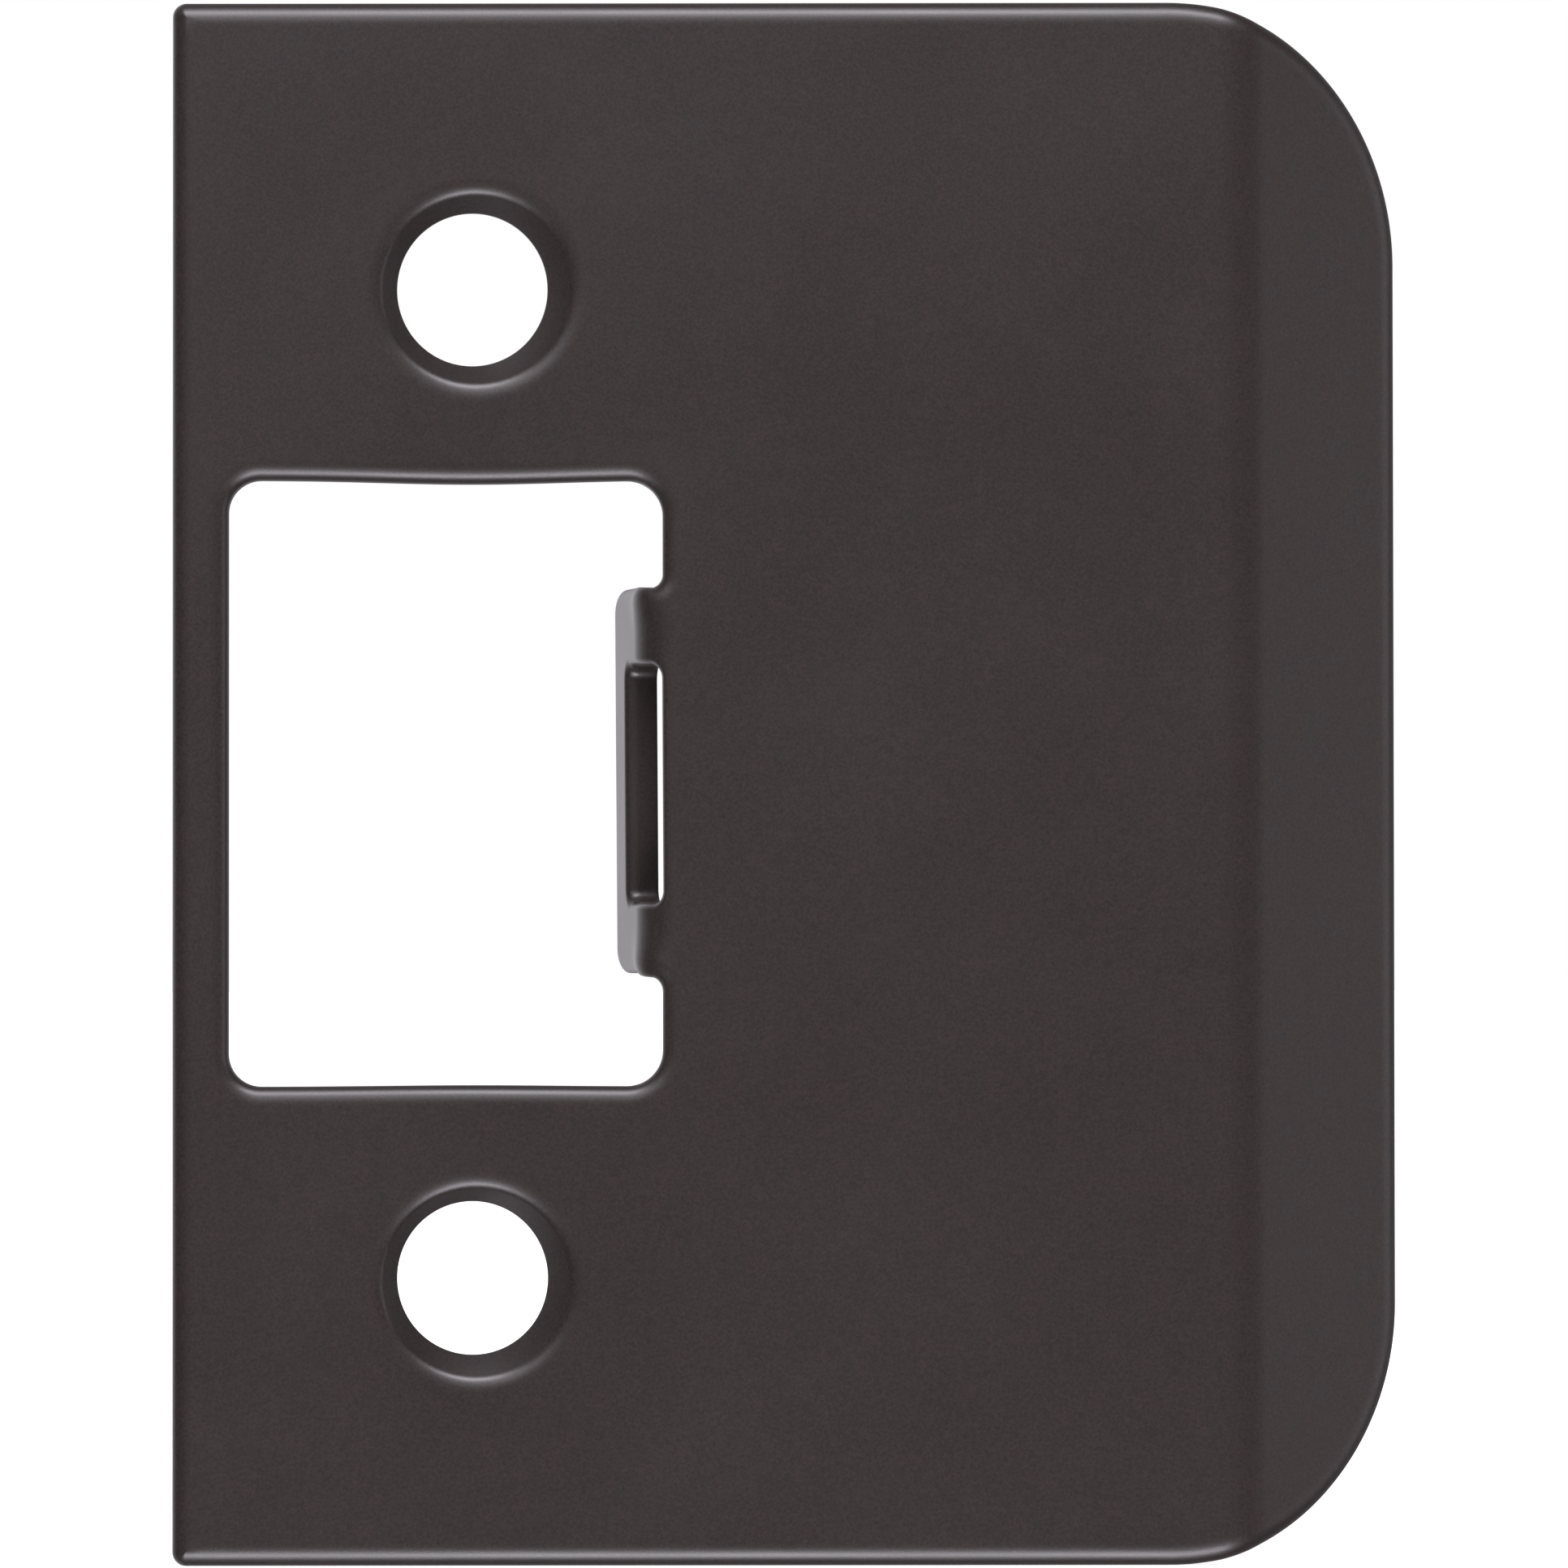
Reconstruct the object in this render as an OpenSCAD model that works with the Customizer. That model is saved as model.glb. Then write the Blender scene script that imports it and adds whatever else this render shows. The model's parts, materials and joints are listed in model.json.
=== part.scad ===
// Full-lip latch strike plate, pressed from one steel sheet.
// X runs across the plate towards the lip, Z up the door edge, and the visible face looks along -Y.
// The origin is on the back face, midway between the two screw holes.

/* [Plate] */
// Height of the plate, along the door edge
plate_h = 57.15; // [55:0.05:60]
// Width of the plate seen from the front, from the jamb edge to the end of the lip
plate_w = 45.1; // [43:0.1:48]
// Thickness of the steel sheet
sheet_t = 1.2; // [1:0.1:1.5]
// Corner radius at the jamb edge
corner_r = 0.7; // [0.3:0.1:1.5]

/* [Lip] */
// Distance from the jamb edge to the start of the lip's bend
lip_start = 38.3; // [36:0.1:39]
// Angle that the lip turns back from the face
lip_angle = 28; // [15:1:35]
// Outside radius of the lip's bend
lip_bend_r = 3.5; // [2.5:0.1:4.5]
// Radius of the lip's two corners, in the flat sheet
lip_corner_r = 9.5; // [8:0.1:11]

/* [Screw holes] */
// Distance between the two screw holes
screw_spacing = 36.2; // [34:0.05:38]
// Distance from the jamb edge to the screw holes
screw_inset = 10.95; // [10:0.05:12]
// Diameter of each screw hole
screw_d = 5.58; // [5:0.02:6]
// Diameter of each countersink at the face
sink_d = 7.5; // [7:0.1:8.5]
// Depth of each countersink
sink_depth = 0.8; // [0.5:0.1:0.9]

/* [Latch opening] */
// Distance from the jamb edge to the latch opening
opening_inset = 2.03; // [1.8:0.01:3]
// Width of the latch opening
opening_w = 15.9; // [14:0.01:17]
// Height of the latch opening
opening_h = 22.2; // [20:0.1:24]
// Corner radius of the latch opening
opening_r = 1.25; // [0.8:0.05:2]

/* [Tang] */
// Width of the tang, along Z
tang_w = 14.25; // [12:0.05:16]
// How far the tang's bend starts inside the edge of the latch opening
tang_setback = 0.63; // [0.2:0.01:0.8]
// Angle that the tang turns back from the face
tang_angle = 77; // [70:1:90]
// Outside radius of the tang's bend
tang_bend_r = 1.7; // [1.6:0.1:2.2]
// Length of the tang's flat blade past the bend
tang_len = 3.8; // [3:0.1:5]
// Corner radius at the tang's tip
tang_tip_r = 0.6; // [0.3:0.1:1.5]
// Radius of the fillets where the tang leaves the plate
tang_root_r = 0.42; // [0.2:0.02:0.5]

/* [Adjusting slot] */
// Height of the slot, along Z
slot_h = 8.67; // [7:0.01:9.5]
// How far the slot reaches down the blade past the bend
slot_drop = 1.46; // [1:0.02:1.8]
// Corner radius of the slot
slot_r = 0.36; // [0.2:0.02:0.5]

/* [Hidden] */
$fn = 96;
paint_color = [0.06, 0.05, 0.05];
overcut = 2;              // how far a cutting tool runs past the sheet
overlap = 1;              // how far the tang's own flat end reaches into the plate
bend_steps = 18;          // straight steps round each bend
corner_steps = 24;        // straight steps round each corner of the lip
face_y = -sheet_t;
jamb_x = -screw_inset;
bend_x = jamb_x + lip_start;
opening_x = jamb_x + opening_inset;
opening_end_x = opening_x + opening_w;
tang_x = opening_end_x + tang_setback;
root_w = tang_w + 2 * tang_root_r;

// The lip as it was before bending, measured along the face from the start of its bend
lip_arc = lip_bend_r * lip_angle * PI / 180;
lip_flat = (plate_w - lip_start - lip_bend_r * sin(lip_angle)) / cos(lip_angle);
blank_end_x = bend_x + lip_arc + lip_flat;

// A point of a sheet whose bend starts at x = 0: s is its distance past the end of the bend,
// and depth is its distance under the face
function past_bend(r, angle, s, depth) = [
    (r - depth) * sin(angle) + s * cos(angle),
    face_y + r - (r - depth) * cos(angle) + s * sin(angle)
];

// One side of the bent sheet, round the bend and along the flat past it
function bent_side(r, angle, flat_len, depth) = concat(
    [for (i = [0:bend_steps]) past_bend(r, angle * i / bend_steps, 0, depth)],
    [past_bend(r, angle, flat_len, depth)]
);

function reversed(points) = [for (i = [len(points) - 1:-1:0]) points[i]];

// X of a point on the bent face, from its X in the flat sheet
function bent_x(u) =
    u <= bend_x ? u :
    u <= bend_x + lip_arc ? bend_x + lip_bend_r * sin((u - bend_x) / lip_bend_r * 180 / PI) :
    bend_x + lip_bend_r * sin(lip_angle) + (u - bend_x - lip_arc) * cos(lip_angle);

// One corner of the lip as seen from the front: side is 1 at the top and -1 at the bottom
function lip_corner(side) = [
    for (i = [0:corner_steps])
        let (a = 90 * i / corner_steps)
            [bent_x(blank_end_x - lip_corner_r * (1 - sin(a))),
             side * (plate_h / 2 - lip_corner_r * (1 - cos(a)))]
];

function jamb_corner(side) = [
    for (a = [0:15:90])
        [jamb_x + corner_r * (1 - cos(a)), side * (plate_h / 2 - corner_r * (1 - sin(a)))]
];

// Extrudes an outline drawn in X and Z through the sheet, from y0 to y1
module through(y0, y1) {
    translate([0, y1, 0]) rotate([90, 0, 0]) linear_extrude(y1 - y0) children();
}

// A sheet of height h that lies flat from x = -lead to x = 0 and then turns back by angle
module bent_sheet(lead, r, angle, flat_len, h) {
    linear_extrude(h, center = true)
        polygon(concat(
            [[-lead, 0], [-lead, face_y]],
            bent_side(r, angle, flat_len, 0),
            reversed(bent_side(r, angle, flat_len, sheet_t))
        ));
}

module rounded_rect(x0, x1, h, r) {
    translate([x0 + r, -h / 2]) square([x1 - x0 - 2 * r, h]);
    translate([x0, -h / 2 + r]) square([x1 - x0, h - 2 * r]);
    for (x = [x0 + r, x1 - r], z = [-h / 2 + r, h / 2 - r])
        translate([x, z]) circle(r);
}

module plate_outline() {
    polygon(concat(
        jamb_corner(1), lip_corner(1),
        reversed(lip_corner(-1)), reversed(jamb_corner(-1))
    ));
}

// The latch opening, and the notch beside it that the tang is bent out of
module opening_outline() {
    rounded_rect(opening_x, opening_end_x, opening_h, opening_r);
    translate([opening_x + opening_r, -root_w / 2])
        square([tang_x - opening_x - opening_r, root_w]);
}

module screw_hole() {
    rotate([90, 0, 0]) cylinder(d = screw_d, h = 4 * sheet_t, center = true);
    translate([0, face_y + sink_depth, 0]) rotate([90, 0, 0])
        cylinder(d1 = screw_d, d2 = sink_d, h = sink_depth);
}

module plate_and_lip() {
    difference() {
        intersection() {
            translate([bend_x, 0, 0])
                bent_sheet(lip_start, lip_bend_r, lip_angle, lip_flat, plate_h);
            through(face_y - overcut, plate_w) plate_outline();
        }
        through(face_y - overcut, overcut) opening_outline();
        for (side = [-1, 1])
            translate([0, 0, side * screw_spacing / 2]) screw_hole();
    }
}

// A tang sheet of height h, where it stands on the plate
module tang_strip(h) {
    translate([tang_x, 0, 0]) mirror([1, 0, 0])
        bent_sheet(overlap, tang_bend_r, tang_angle, tang_len, h);
}

// Cuts an outline drawn on the tang's blade: X from the end of the bend to the tip, and Z
module through_blade() {
    translate([tang_x, face_y + tang_bend_r, 0]) mirror([1, 0, 0]) rotate(tang_angle)
        translate([0, overcut, 0]) rotate([90, 0, 0])
            linear_extrude(tang_bend_r + 2 * overcut) children();
}

module tip_corners() {
    for (side = [-1, 1])
        difference() {
            translate([tang_len, side * tang_w / 2]) square(2 * tang_tip_r, center = true);
            translate([tang_len - tang_tip_r, side * (tang_w / 2 - tang_tip_r)])
                circle(tang_tip_r);
        }
}

// The slot runs from the edge of the opening, round the bend and on to the blade
module adjusting_slot() {
    top = face_y - overcut;
    inner = past_bend(tang_bend_r, tang_angle, slot_drop - slot_r, sheet_t);
    outer = past_bend(tang_bend_r, tang_angle, slot_drop - slot_r, -overcut);
    translate([tang_x, 0, 0]) mirror([1, 0, 0])
        linear_extrude(slot_h, center = true)
            polygon([
                [tang_setback + slot_r, top], [tang_setback + slot_r, 0],
                [tang_setback, 0], [tang_setback, inner[1]],
                inner, outer, [outer[0], top]
            ]);
    through(top, 0)
        rounded_rect(opening_end_x - 3 * slot_r, opening_end_x, slot_h, slot_r);
    through_blade()
        rounded_rect(slot_drop - 3 * slot_r, slot_drop, slot_h, slot_r);
}

// The fillets where the tang leaves the plate, cut from a wider strip with the same bend
module tang_root() {
    intersection() {
        tang_strip(root_w);
        through(face_y - overcut, 0)
            difference() {
                translate([opening_end_x - tang_root_r, -root_w / 2])
                    square([tang_root_r + tang_setback + overlap, root_w]);
                for (side = [-1, 1])
                    translate([opening_end_x - tang_root_r, side * root_w / 2])
                        circle(tang_root_r);
            }
    }
}

module tang() {
    difference() {
        union() {
            tang_strip(tang_w);
            tang_root();
        }
        adjusting_slot();
        through_blade() tip_corners();
    }
}

module strike_plate() {
    color(paint_color) {
        plate_and_lip();
        tang();
    }
}

strike_plate();
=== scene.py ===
"""A full-lip latch strike plate in satin dark bronze paint, and the studio it stands in.

The sheet is drawn flat first: a point of it has u across the sheet, z up it, and a depth under the
visible face. bent() then folds the lip and the tang, so every rounded edge follows its bend.
All lengths are in metres, in the CAD model's own frame: the visible face looks along -Y.
"""
import cmath
import json
from math import ceil, copysign, cos, exp, pi, radians, sin, tan

import bmesh
import bpy
import numpy as np
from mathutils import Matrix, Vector
from mathutils.geometry import delaunay_2d_cdt


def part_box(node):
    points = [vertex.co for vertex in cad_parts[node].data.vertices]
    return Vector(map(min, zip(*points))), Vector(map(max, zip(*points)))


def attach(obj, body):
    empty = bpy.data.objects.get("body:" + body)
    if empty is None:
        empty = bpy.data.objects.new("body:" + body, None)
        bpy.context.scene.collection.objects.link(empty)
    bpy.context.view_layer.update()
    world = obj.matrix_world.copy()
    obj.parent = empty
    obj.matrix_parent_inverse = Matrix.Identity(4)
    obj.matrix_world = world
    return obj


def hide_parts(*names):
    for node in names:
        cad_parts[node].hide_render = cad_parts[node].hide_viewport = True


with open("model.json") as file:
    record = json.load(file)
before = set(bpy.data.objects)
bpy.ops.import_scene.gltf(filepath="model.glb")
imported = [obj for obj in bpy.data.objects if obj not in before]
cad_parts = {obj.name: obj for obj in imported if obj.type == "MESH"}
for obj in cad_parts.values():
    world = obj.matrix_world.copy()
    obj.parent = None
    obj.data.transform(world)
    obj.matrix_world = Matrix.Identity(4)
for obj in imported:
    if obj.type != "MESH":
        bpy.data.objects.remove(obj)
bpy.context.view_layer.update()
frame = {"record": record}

MM = 0.001

# The sheet and its two bends, as in the CAD
SHEET_T = 1.2 * MM
LIP_START = 38.3 * MM        # from the jamb edge
LIP_ANGLE = radians(28)
LIP_BEND_R = 3.5 * MM
LIP_CORNER_R = 9.45 * MM
JAMB_CORNER_R = 0.5 * MM
OPENING_INSET = 2.03 * MM    # from the jamb edge
OPENING_W = 15.9 * MM
OPENING_H = 22.2 * MM
OPENING_LEFT_R = 1.2 * MM
OPENING_RIGHT_R = 1.34 * MM
TANG_W = 14.25 * MM
TANG_SETBACK = 0.63 * MM
TANG_ANGLE = radians(76.4)
TANG_BEND_R = 1.7 * MM
TANG_LEN = 3.8 * MM
TANG_TIP_R = 0.95 * MM
TANG_ROOT_R = 0.50 * MM
SLOT_H = 8.67 * MM
SLOT_DROP = 1.46 * MM        # down the blade, past the bend
SLOT_PLATE_R = 0.45 * MM
SLOT_BLADE_R = 0.47 * MM
SLOT_INSET = 0.165 * MM      # from the edge of the opening

# Beside the tang its bend starts late, so the plate there stays flat
LATE_FROM = 1.9 * MM         # inside the tang's edge, where this begins
LATE_TO = 0.9 * MM           # outside the tang's edge, where it is whole
LATE_RUN = 1 * MM            # past the end of the bend, where it is over
TANG_ROOM = 1 * MM           # how far outside the tang its bend may reach

# Small faults of the press: the tang ends a little high and askew, its slot isn't quite in the
# middle, the opening's edges bow towards its middle, and the holes are oval
TANG_LIFT = 0.13 * MM
TANG_TAPER = 0.0042          # narrower, for each unit from its middle
TANG_LIFT_RUN = 3.5 * MM     # along the tang, until it has its whole lift
TANG_LEAN = 0.006            # across, for each unit up
TANG_LEAN_RUN = 1 * MM
SLOT_PLATE_LIFT = -0.06 * MM
SLOT_BLADE_LIFT = -0.16 * MM
UPPER_BOW, LOWER_BOW = 0.15 * MM, 0.05 * MM
BOW_WIDTH, BOW_HEIGHT = 4.5 * MM, 1.6 * MM
HOLE_OVAL = (0.988, 1.005)   # across and up

# How far the paint and the press round each edge of the visible face: along it, and down its side
OUTER_ROLL = (0.80 * MM, 0.55 * MM)
OPENING_ROLL = (0.70 * MM, 0.42 * MM)
SLOT_ROLL = (0.32 * MM, 0.50 * MM)
BACK_ROLL = 0.10 * MM
RING_GAP = 0.12 * MM         # width of the flat ring that holds a rounded edge's shading

# The dimple round each screw hole
DIMPLE_R = 4.14 * MM         # where the face starts to dip
DIMPLE_EASE = 0.30 * MM      # how far down the cone the dip turns
SINK_ANGLE = radians(50)     # of the cone, from the face
SINK_DEPTH = 0.95 * MM
SINK_ROLL = 0.12 * MM
# How far each dimple sits from its hole, across and up: the upper one, then the lower one
PUNCH_SLIPS = (complex(0.19, -0.04) * MM, complex(0.19, -0.15) * MM)

LIGHT = (0.970, 0.940, 1.0)  # the studio's light, a touch cool

# Mesh spacing
ARC_STEPS = 12
HOLE_STEPS = 128
SPARSE = 1.1 * MM
COARSE = 0.6 * MM
FINE = 0.11 * MM
WELD = 0.002 * MM

lo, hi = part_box("strike_plate")
JAMB_X, LIP_END_X = lo[0], hi[0]
FACE_Y = lo[1]
FLOOR_Z, HALF_H = lo[2], hi[2]
SCREW_HOLES = [m for m in frame["record"]["mounts"] if m["kind"] == "bore"]
SCREW_HOLES.sort(key=lambda mount: -mount["pos_m"][2])

BEND_X = JAMB_X + LIP_START
LIP_ARC = LIP_BEND_R * LIP_ANGLE
LIP_FLAT = (LIP_END_X - BEND_X - LIP_BEND_R * sin(LIP_ANGLE)) / cos(LIP_ANGLE)
BLANK_END = BEND_X + LIP_ARC + LIP_FLAT
OPENING_X = JAMB_X + OPENING_INSET
OPENING_END = OPENING_X + OPENING_W
TANG_X = OPENING_END + TANG_SETBACK
TANG_ARC = TANG_BEND_R * TANG_ANGLE
TANG_TIP = TANG_X - TANG_ARC - TANG_LEN
SLOT_END = TANG_X - TANG_ARC - SLOT_DROP
SLOT_START = OPENING_END - SLOT_INSET


# ---- The flat sheet and its bends ----

def smooth(x, start, end):
    """0 before start, 1 after end, and a smooth change between them."""
    t = min(max((x - start) / (end - start), 0), 1)
    return t * t * (3 - 2 * t)


def past_bend(along, radius, angle, depth):
    """Across and back from where a bend starts, for a point this far along the sheet."""
    turned = min(along / radius, angle)
    flat = max(along - radius * angle, 0)
    return (
        (radius - depth) * sin(turned) + flat * cos(angle),
        radius - (radius - depth) * cos(turned) + flat * sin(angle),
    )


def bent(u, z, depth):
    """Where a point of the flat sheet is once the lip and the tang are bent."""
    if u > BEND_X:
        across, back = past_bend(u - BEND_X, LIP_BEND_R, LIP_ANGLE, depth)
        return Vector((BEND_X + across, FACE_Y + back, z))
    if TANG_TIP - TANG_ROOM < u < TANG_X and abs(z) < TANG_W / 2 + TANG_ROOM:
        # Where the bend starts late, the sheet's edge isn't turned with it either
        held = smooth(abs(z), TANG_W / 2 - LATE_FROM, TANG_W / 2 + LATE_TO)
        held *= 1 - smooth(TANG_X - u, TANG_SETBACK, TANG_ARC + LATE_RUN)
        start = TANG_SETBACK * held
        along = TANG_X - u - start
        if along > 0:
            across, back = past_bend(along, TANG_BEND_R, TANG_ANGLE, depth)
            across += held * depth * sin(min(along / TANG_BEND_R, TANG_ANGLE))
            lean = TANG_LEAN * z * smooth(along, 0, TANG_LEAN_RUN)
            lift = (TANG_LIFT - TANG_TAPER * z) * smooth(along, 0, TANG_LIFT_RUN)
            return Vector((TANG_X - start - across - lean, FACE_Y + back, z + lift))
    return Vector((u, FACE_Y + depth, z))


def bowed(u, z):
    """Moves a point near the opening's upper or lower edge as the dimple beyond it pushed it."""
    bow = UPPER_BOW if z > 0 else LOWER_BOW
    past_edge = abs(z) - OPENING_H / 2
    near = exp(-(u / BOW_WIDTH) ** 2) * exp(-(past_edge / BOW_HEIGHT) ** 2)
    return z - copysign(bow * near, z)


def rounded_corner(before, at, after, radius, steps=ARC_STEPS):
    """The arc that rounds one corner of a path of complex numbers."""
    ahead = (at - before) / abs(at - before)
    onward = (after - at) / abs(after - at)
    turn = cmath.phase(onward / ahead)
    start = at - ahead * radius * tan(abs(turn) / 2)
    centre = start + ahead * 1j * copysign(radius, turn)
    return [centre + (start - centre) * cmath.rect(1, turn * k / steps) for k in range(steps + 1)]


def outline(corners, inset):
    """A closed outline moved inset into the metal, always with the same number of points.

    corners holds (u, z, radius, step), with the metal on the left of the way round; step is the
    spacing of the points on the straight side after the corner.
    """
    count = len(corners)
    sharp = [complex(u, z) for u, z, _, _ in corners]
    sides = [sharp[(i + 1) % count] - sharp[i] for i in range(count)]
    moved, radii = [], []
    for i in range(count):
        ahead, onward = sides[i - 1] / abs(sides[i - 1]), sides[i] / abs(sides[i])
        facing = (ahead.conjugate() * onward).real
        moved.append(sharp[i] + inset * 1j * (ahead + onward) / (1 + facing))
        radii.append(max(corners[i][2] - copysign(inset, cmath.phase(onward / ahead)), 0))
    arcs = []
    for i in range(count):
        steps = max(ARC_STEPS, ceil(corners[i][2] / FINE))
        before, after = moved[i - 1], moved[(i + 1) % count]
        arcs.append(rounded_corner(before, moved[i], after, radii[i], steps))
    points = []
    for i in range(count):
        start, end = arcs[i][-1], arcs[(i + 1) % count][0]
        parts = ceil(abs(sides[i]) / corners[i][3])
        points += arcs[i] + [start + (end - start) * k / parts for k in range(1, parts)]
    return points


def edge_profile(roll):
    """(inset, depth) from the visible face, round an edge and on to the back."""
    wide, deep = roll
    face = complex(wide + RING_GAP, 0)
    back = complex(BACK_ROLL + RING_GAP, SHEET_T)
    turns = [pi / 2 * k / ARC_STEPS for k in range(ARC_STEPS + 1)]
    turn_down = [complex(wide * (1 - sin(turn)), deep * (1 - cos(turn))) for turn in turns]
    turn_in = rounded_corner(0j, complex(0, SHEET_T), back, BACK_ROLL)
    return [(p.real, p.imag) for p in [face] + turn_down + turn_in + [back]]


def outer_corners():
    """The plate and the lip, before the lip is bent."""
    return [
        (JAMB_X, -HALF_H, JAMB_CORNER_R, COARSE),
        (BLANK_END, -HALF_H, LIP_CORNER_R, COARSE),
        (BLANK_END, HALF_H, LIP_CORNER_R, COARSE),
        (JAMB_X, HALF_H, JAMB_CORNER_R, COARSE),
    ]


def opening_corners():
    """The latch opening, and the tang that stands in it before it is bent back."""
    top, tang = OPENING_H / 2, TANG_W / 2
    return [
        (OPENING_X, top, OPENING_LEFT_R, COARSE / 2),
        (OPENING_END, top, OPENING_RIGHT_R, COARSE / 3),
        (OPENING_END, tang, TANG_ROOT_R, FINE),
        (TANG_TIP, tang, TANG_TIP_R, COARSE / 2),
        (TANG_TIP, -tang, TANG_TIP_R, FINE),
        (OPENING_END, -tang, TANG_ROOT_R, COARSE / 3),
        (OPENING_END, -top, OPENING_RIGHT_R, COARSE / 2),
        (OPENING_X, -top, OPENING_LEFT_R, COARSE),
    ]


def slot_corners():
    """The slot, from the root of the tang round its bend and on to the blade."""
    half = SLOT_H / 2
    return [
        (SLOT_END, SLOT_BLADE_LIFT + half, SLOT_BLADE_R, FINE),
        (SLOT_START, SLOT_PLATE_LIFT + half, SLOT_PLATE_R, COARSE / 2),
        (SLOT_START, SLOT_PLATE_LIFT - half, SLOT_PLATE_R, FINE),
        (SLOT_END, SLOT_BLADE_LIFT - half, SLOT_BLADE_R, COARSE / 2),
    ]


def hole_profile(radius):
    """(radius, depth) from the face, down a dimple and through its hole."""
    cone_width = SINK_DEPTH / tan(SINK_ANGLE)
    face, top = complex(DIMPLE_R + RING_GAP, 0), complex(radius + cone_width, 0)
    neck, foot = complex(radius, SINK_DEPTH), complex(radius, SHEET_T)
    back = complex(radius + BACK_ROLL + RING_GAP, SHEET_T)
    start, end = complex(DIMPLE_R, 0), top + (neck - top) / abs(neck - top) * DIMPLE_EASE
    shares = [k / ARC_STEPS for k in range(ARC_STEPS + 1)]
    dip = [start * (1 - t) ** 2 + 2 * top * t * (1 - t) + end * t ** 2 for t in shares]
    path = [face] + dip + rounded_corner(top, neck, foot, SINK_ROLL)
    path += rounded_corner(neck, foot, back, BACK_ROLL)
    return [(p.real, p.imag) for p in path + [back]]


# ---- The mesh ----

class Shell:
    """Points and faces of the bent sheet, collected piece by piece."""

    def __init__(self):
        self.points = []
        self.faces = []

    def ring(self, flat_points, depth):
        """Adds a closed ring of points of the flat sheet, and gives their numbers."""
        first = len(self.points)
        self.points += [bent(p.real, bowed(p.real, p.imag), depth) for p in flat_points]
        return range(first, len(self.points))

    def band(self, rings):
        """Joins each ring to the next with quads."""
        for a, b in zip(rings, rings[1:]):
            count = len(a)
            self.faces += [
                (a[i], a[(i + 1) % count], b[(i + 1) % count], b[i]) for i in range(count)
            ]

    def fill(self, loops, depth):
        """Fills the metal between the first loop and the others, in triangles."""
        corners, edges = [], []
        for loop in loops:
            first, count = len(corners), len(loop)
            corners += loop
            edges += [(first + i, first + (i + 1) % count) for i in range(count)]
        inner = inner_points(loops)
        # Worked in millimetres, where the triangulation's own tolerance suits
        flat = [Vector((p.real / MM, p.imag / MM)) for p in corners + inner]
        found, _, triangles, *_ = delaunay_2d_cdt(flat, edges, [], 1, 1e-5)
        spots = [complex(*p) * MM for p in found]
        centres = np.array([sum(spots[i] for i in t) / 3 for t in triangles])
        kept = in_metal(centres, loops)
        numbers = self.ring(spots, depth)
        self.faces += [tuple(numbers[i] for i in t) for t, keep in zip(triangles, kept) if keep]


def is_inside(points, loop):
    """Which of the points lie inside a closed loop."""
    loop = np.array(loop)
    inside = np.zeros(len(points), bool)
    for a, b in zip(loop, np.roll(loop, -1)):
        if a.imag == b.imag:
            continue
        spans = (a.imag > points.imag) != (b.imag > points.imag)
        crossing = a.real + (points.imag - a.imag) * (b.real - a.real) / (b.imag - a.imag)
        inside ^= spans & (points.real < crossing)
    return inside


def in_metal(points, loops):
    """Which of the points lie inside the first loop and outside all the others."""
    kept = is_inside(points, loops[0])
    for void in loops[1:]:
        kept &= ~is_inside(points, void)
    return kept


def grid(u_range, z_range, u_step, z_step):
    """Points in rows and columns, evenly spaced at no more than the steps given."""
    us = np.linspace(*u_range, ceil((u_range[1] - u_range[0]) / u_step) + 1)
    zs = np.linspace(*z_range, ceil((z_range[1] - z_range[0]) / z_step) + 1)
    return (us[:, None] + 1j * zs[None, :]).ravel()


def inner_points(loops):
    """Points inside the metal: a coarse grid, and close columns wherever the sheet bends."""
    bend_end = BEND_X + LIP_ARC
    heights = (-HALF_H, HALF_H)
    # Each grid, and how far its points keep from every edge
    grids = [
        (grid((JAMB_X, BEND_X - FINE), heights, SPARSE, SPARSE), 0.5 * MM),
        (grid((BEND_X, bend_end), heights, FINE, COARSE), 0.2 * MM),
        (grid((bend_end + 3 * FINE, BLANK_END), heights, SPARSE, SPARSE), 0.5 * MM),
        (grid((TANG_TIP, TANG_X), (-TANG_W / 2, TANG_W / 2), FINE, 0.25 * MM), 0.1 * MM),
    ]
    edge = np.concatenate([np.array(loop) for loop in loops])
    inner = []
    for points, margin in grids:
        points = points[in_metal(points, loops)]
        clear = np.array([abs(edge - p).min() > margin for p in points])
        inner += list(points[clear])
    return inner


def hole_rings(shell, mount, slip):
    """The rings down one dimple; its rim sits a little to one side of its hole."""
    centre = complex(mount["pos_m"][0], mount["pos_m"][2])
    profile = hole_profile(mount["dims"]["r_mm"] * MM)
    rings, loops = [], []
    for radius, depth in profile:
        share = 1 - smooth(depth, 0, SINK_DEPTH)
        wide, high = (share + (1 - share) * stretch for stretch in HOLE_OVAL)
        turns = [-2 * pi * k / HOLE_STEPS for k in range(HOLE_STEPS)]
        loop = [
            centre + slip * share + radius * complex(wide * cos(turn), high * sin(turn))
            for turn in turns
        ]
        loops.append(loop)
        rings.append(shell.ring(loop, depth))
    return rings, loops[0], loops[-1]


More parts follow.
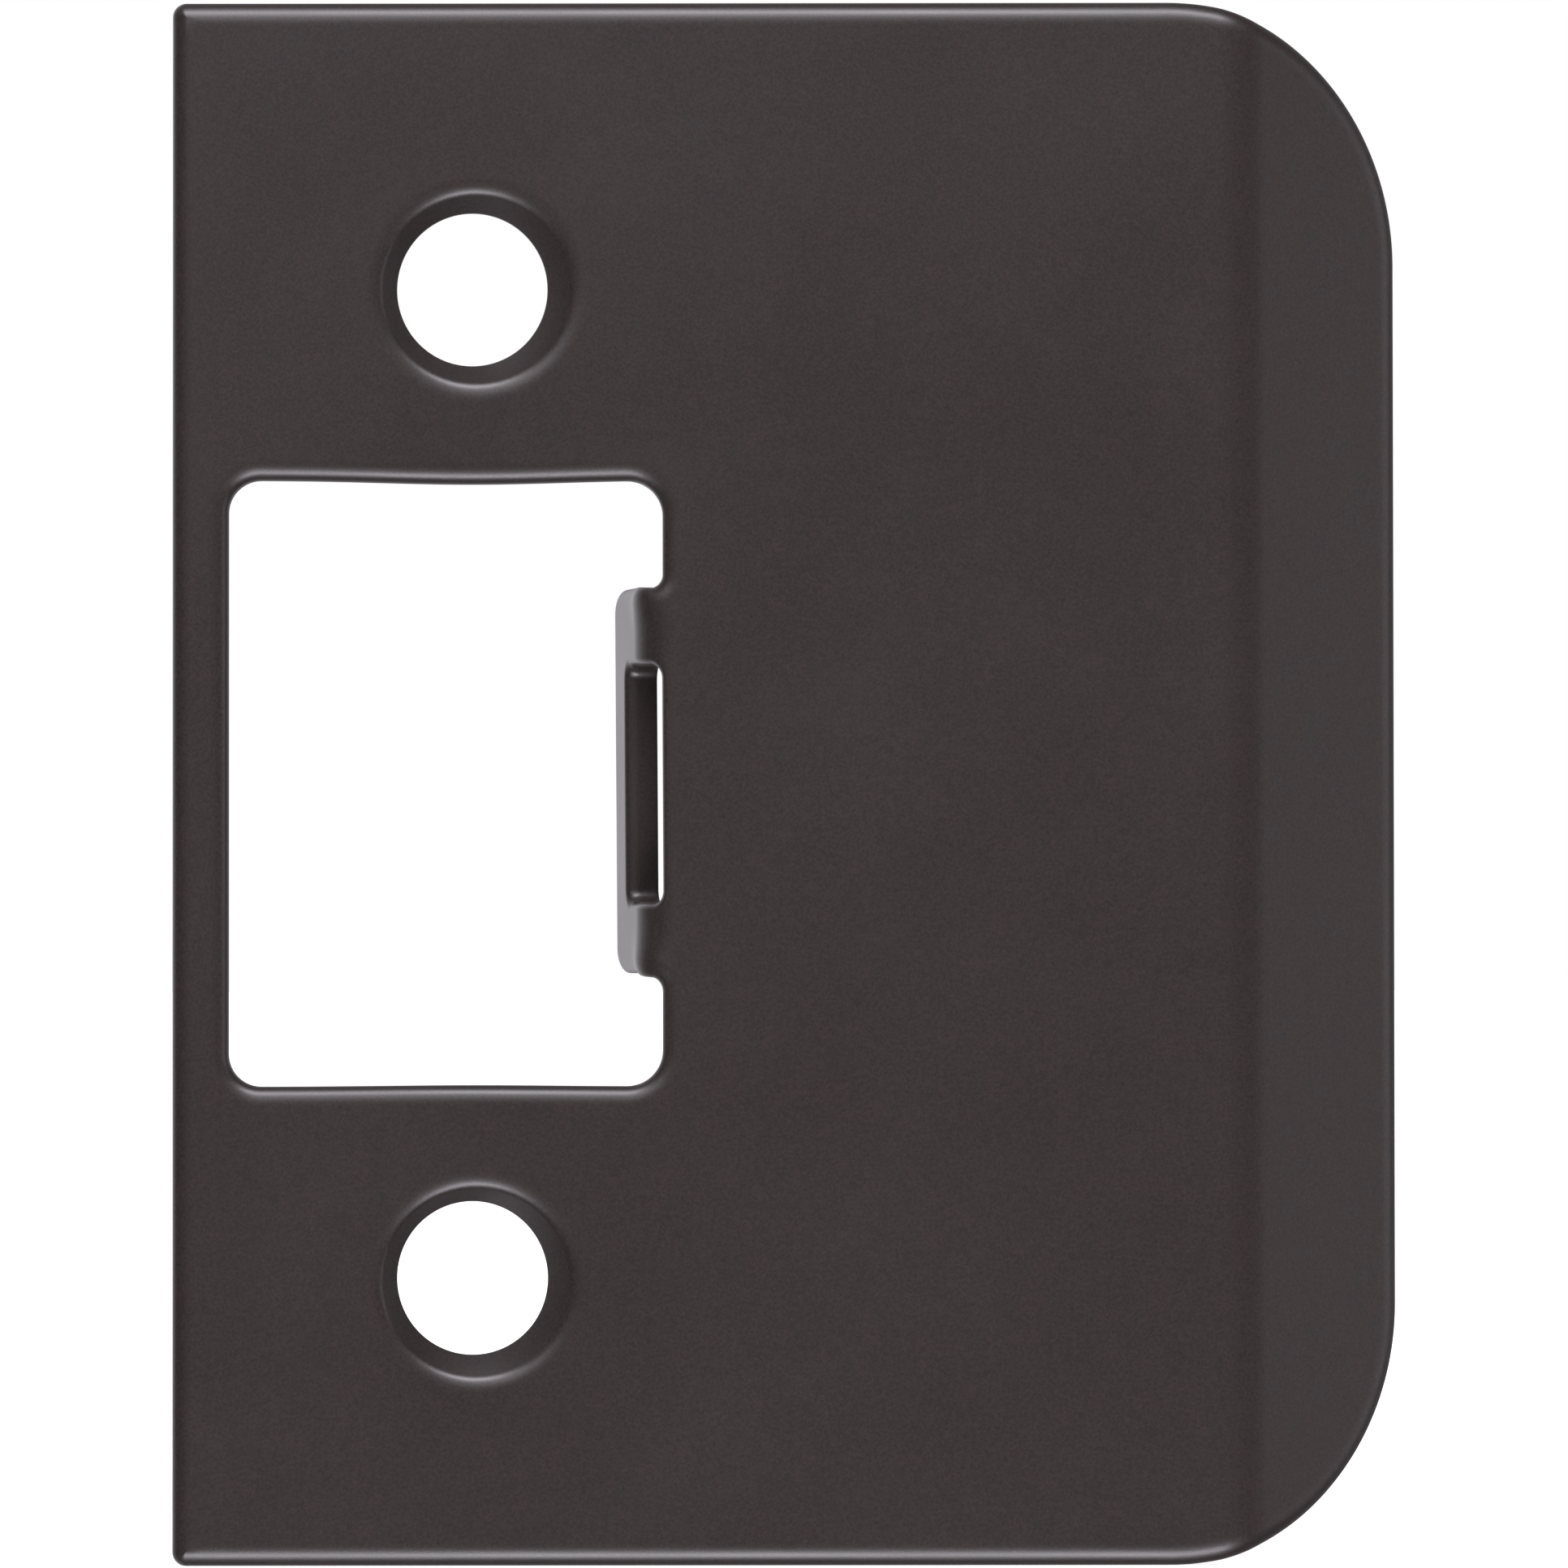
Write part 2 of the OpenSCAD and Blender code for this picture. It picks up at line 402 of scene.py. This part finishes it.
def build_sheet():
    """The whole stamped plate as one closed mesh."""
    shell = Shell()
    face_loops, back_loops = [], []
    edges = [
        (outer_corners(), OUTER_ROLL),
        (opening_corners(), OPENING_ROLL),
        (slot_corners(), SLOT_ROLL),
    ]
    for corners, roll in edges:
        profile = edge_profile(roll)
        loops = [outline(corners, inset) for inset, _ in profile]
        shell.band([shell.ring(loop, depth) for loop, (_, depth) in zip(loops, profile)])
        face_loops.append(loops[0])
        back_loops.append(loops[-1])
    for mount, slip in zip(SCREW_HOLES, PUNCH_SLIPS):
        rings, face_loop, back_loop = hole_rings(shell, mount, slip)
        shell.band(rings)
        face_loops.append(face_loop)
        back_loops.append(back_loop)
    shell.fill(face_loops, 0)
    shell.fill(back_loops, SHEET_T)

    bm = bmesh.new()
    verts = [bm.verts.new(p) for p in shell.points]
    for face in shell.faces:
        bm.faces.new([verts[i] for i in face])
    bmesh.ops.remove_doubles(bm, verts=bm.verts, dist=WELD)
    bmesh.ops.dissolve_degenerate(bm, edges=bm.edges, dist=WELD / 4)
    bmesh.ops.recalc_face_normals(bm, faces=bm.faces)
    for face in bm.faces:
        face.smooth = True
    mesh = bpy.data.meshes.new("painted_plate")
    bm.to_mesh(mesh)
    bm.free()
    plate = bpy.data.objects.new("painted_plate", mesh)
    bpy.context.collection.objects.link(plate)
    return plate


# ---- The paint ----

def node(tree, kind, **settings):
    """A new node with its inputs, or its own properties, set by name."""
    made = tree.nodes.new(kind)
    for name, value in settings.items():
        if name in made.inputs:
            made.inputs[name].default_value = value
        else:
            setattr(made, name, value)
    return made


def noise(tree, coordinates, size, detail=2.0):
    """Noise whose blotches are about size across."""
    made = node(tree, "ShaderNodeTexNoise", Scale=1 / size, Detail=detail)
    tree.links.new(coordinates, made.inputs["Vector"])
    return made.outputs["Fac"]


def ranged(tree, value, from_min, from_max, to_min, to_max):
    """The value moved from one range to another, and held inside it."""
    made = node(tree, "ShaderNodeMapRange", **{
        "From Min": from_min, "From Max": from_max, "To Min": to_min, "To Max": to_max,
    })
    tree.links.new(value, made.inputs["Value"])
    return made.outputs["Result"]


def mixed(tree, share, colour_a, colour_b):
    """A mix of two colours; each is a colour or the output of another node."""
    made = node(tree, "ShaderNodeMix", data_type="RGBA")
    tree.links.new(share, made.inputs["Factor"])
    # The node's colours are its sockets 6 and 7, and their mix is its output 2
    for socket, colour in ((made.inputs[6], colour_a), (made.inputs[7], colour_b)):
        if isinstance(colour, tuple):
            socket.default_value = (*colour, 1)
        else:
            tree.links.new(colour, socket)
    return made.outputs[2]


def bronze_paint():
    """Satin dark bronze enamel: a faint orange peel, a fine tooth and a slightly uneven sheen."""
    material = bpy.data.materials.new("satin_bronze_paint")
    material.use_nodes = True
    tree = material.node_tree
    shader = tree.nodes["Principled BSDF"]
    place = tree.nodes.new("ShaderNodeTexCoord").outputs["Object"]

    tooth = noise(tree, place, 0.09 * MM, 3)
    peel = noise(tree, place, 0.7 * MM, 2)
    drift = noise(tree, place, 9 * MM, 2)
    warm = ranged(tree, noise(tree, place, 0.8 * MM, 1), 0.35, 0.65, 0, 1)

    base = mixed(tree, warm, (0.0228, 0.0182, 0.0170), (0.0254, 0.0184, 0.0172))
    speckled = ranged(tree, tooth, 0.3, 0.7, 0.7, 1.3)
    tinted = node(tree, "ShaderNodeVectorMath", operation="SCALE")
    tree.links.new(base, tinted.inputs[0])
    tree.links.new(speckled, tinted.inputs["Scale"])
    tree.links.new(tinted.outputs[0], shader.inputs["Base Color"])

    tree.links.new(ranged(tree, drift, 0.3, 0.7, 0.37, 0.41), shader.inputs["Roughness"])
    shader.inputs["IOR"].default_value = 1.5

    fine_bump = node(tree, "ShaderNodeBump", Strength=0.25, Distance=0.004 * MM)
    tree.links.new(tooth, fine_bump.inputs["Height"])
    peel_bump = node(tree, "ShaderNodeBump", Strength=0.25, Distance=0.01 * MM)
    tree.links.new(peel, peel_bump.inputs["Height"])
    tree.links.new(fine_bump.outputs["Normal"], peel_bump.inputs["Normal"])
    tree.links.new(peel_bump.outputs["Normal"], shader.inputs["Normal"])
    return material


# ---- The studio ----

def add_floor():
    """The plain pale floor, which glows enough to look even."""
    bpy.ops.mesh.primitive_plane_add(size=8, location=(0, 0, FLOOR_Z))
    floor = bpy.context.object
    floor.name = "studio_floor"
    material = bpy.data.materials.new("pale_floor")
    material.use_nodes = True
    tree = material.node_tree
    shader = tree.nodes["Principled BSDF"]
    shader.inputs["Base Color"].default_value = (0.85, 0.85, 0.85, 1)
    shader.inputs["Roughness"].default_value = 0.9
    shader.inputs["Emission Color"].default_value = (1, 1, 1, 1)
    # The light fades away from the plate, so the floor makes up for it there
    away = node(tree, "ShaderNodeVectorMath", operation="LENGTH")
    tree.links.new(tree.nodes.new("ShaderNodeTexCoord").outputs["Object"], away.inputs[0])
    glow = ranged(tree, away.outputs["Value"], 0.05, 0.25, 0.8, 1.0)
    tree.links.new(glow, shader.inputs["Emission Strength"])
    floor.data.materials.append(material)
    # The lower softbox lights the plate through the floor
    floor.visible_diffuse = False
    floor.visible_glossy = False
    floor.visible_shadow = False


def add_softbox(name, off_axis, side, size, radiance, distance=0.6):
    """A softbox off the line from the plate to the camera, turned round it by side: 0 is the
    right and 90 degrees is above."""
    data = bpy.data.lights.new(name, "AREA")
    data.shape = "RECTANGLE"
    data.size, data.size_y = size
    data.energy = radiance * pi * size[0] * size[1]
    data.color = LIGHT
    light = bpy.data.objects.new(name, data)
    centre = Vector(((JAMB_X + LIP_END_X) / 2, FACE_Y, 0))
    across = Vector((cos(side), 0, sin(side)))
    towards = across * sin(off_axis) - Vector((0, cos(off_axis), 0))
    light.location = centre + towards * distance
    light.rotation_euler = towards.to_track_quat("Z", "Y").to_euler()
    light.visible_camera = False
    bpy.context.collection.objects.link(light)


def add_world():
    """White to the camera; to the plate, a dark room with a white sweep behind it on the left."""
    world = bpy.data.worlds.new("studio")
    bpy.context.scene.world = world
    world.use_nodes = True
    tree = world.node_tree
    background = tree.nodes["Background"]
    way = tree.nodes.new("ShaderNodeTexCoord").outputs["Generated"]
    split = tree.nodes.new("ShaderNodeSeparateXYZ")
    tree.links.new(way, split.inputs[0])
    sweep = ranged(tree, split.outputs["X"], -0.35, -0.1, 1.75, 0.4)
    behind = ranged(tree, split.outputs["Y"], 0.0, 0.75, 0, 1)
    lit = node(tree, "ShaderNodeMath", operation="MULTIPLY")
    tree.links.new(sweep, lit.inputs[0])
    tree.links.new(behind, lit.inputs[1])
    seen = node(tree, "ShaderNodeMix", data_type="FLOAT", B=1.0)
    camera_ray = tree.nodes.new("ShaderNodeLightPath").outputs["Is Camera Ray"]
    tree.links.new(camera_ray, seen.inputs["Factor"])
    tree.links.new(lit.outputs[0], seen.inputs["A"])
    tree.links.new(seen.outputs[0], background.inputs["Strength"])
    tint = mixed(tree, camera_ray, LIGHT, (1, 1, 1))
    tree.links.new(tint, background.inputs["Color"])


def add_camera():
    """Almost straight at the face: a touch from below, and a hair out of level."""
    data = bpy.data.cameras.new("camera")
    data.sensor_width = 36
    distance, view_width = 300 * MM, 57.25 * MM
    data.lens = data.sensor_width * distance / view_width
    camera = bpy.data.objects.new("camera", data)
    tilt, roll = 0.02, 0.001
    aim_x, aim_z = JAMB_X + 22.36 * MM, -0.055 * MM
    camera.location = (aim_x, FACE_Y - distance * cos(tilt), aim_z - distance * sin(tilt))
    camera.rotation_euler = (radians(90) + tilt, roll, 0)
    bpy.context.collection.objects.link(camera)
    bpy.context.scene.camera = camera


plate = build_sheet()
plate.data.materials.append(bronze_paint())
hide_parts("strike_plate")
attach(plate, "root")

add_floor()
add_softbox("softbox_above", radians(54), radians(90), size=(0.40, 0.126), radiance=27)
add_softbox("softbox_below", radians(48), radians(270), size=(0.39, 0.137), radiance=23)
add_softbox("fill_above", radians(34), radians(120), size=(0.36, 0.17), radiance=3.8)
add_softbox("softbox_right", radians(79), 0, size=(0.36, 0.5), radiance=1.35)
add_world()
add_camera()
bpy.context.scene.view_settings.view_transform = "Standard"
